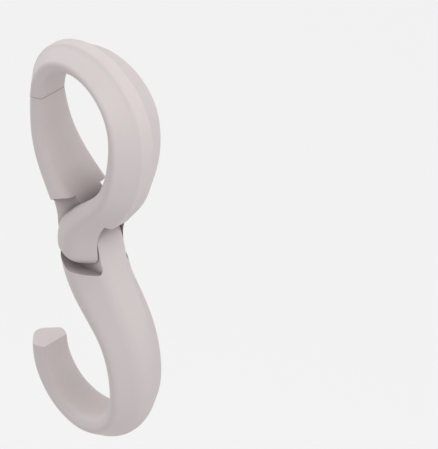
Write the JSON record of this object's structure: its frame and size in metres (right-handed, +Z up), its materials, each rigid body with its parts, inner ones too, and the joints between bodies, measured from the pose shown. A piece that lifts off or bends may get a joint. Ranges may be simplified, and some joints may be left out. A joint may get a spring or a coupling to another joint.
{
  "type": "cascading hanger hook",
  "caption": "Light plastic hook that closes over the neck of a coat hanger and holds a second hanger below it.",
  "frame": {"origin": "highest point of the inside of the closed ring, in the middle of its width, where the part hangs", "axes": "+Z up; both hooks curve in the XZ plane, with their tips towards -X; Y runs across their width and along the hinge pin"},
  "size_m": [0.0322, 0.0142, 0.0928],
  "materials": {
    "hook_plastic": "fine matte",
    "pin_plastic": "satin"
  },
  "bodies": {
    "main": {"main_hook": "hook_plastic"},
    "swing": {"swing_hook": "hook_plastic", "hinge_pin": "pin_plastic"}
  },
  "joints": [
    {"name": "ring_hinge", "type": "hinge", "parent": "main", "child": "swing", "pos_m": [-0.0002, 0, -0.0364], "axis": [0, 1, 0], "range_deg": [0, 56]}
  ]
}
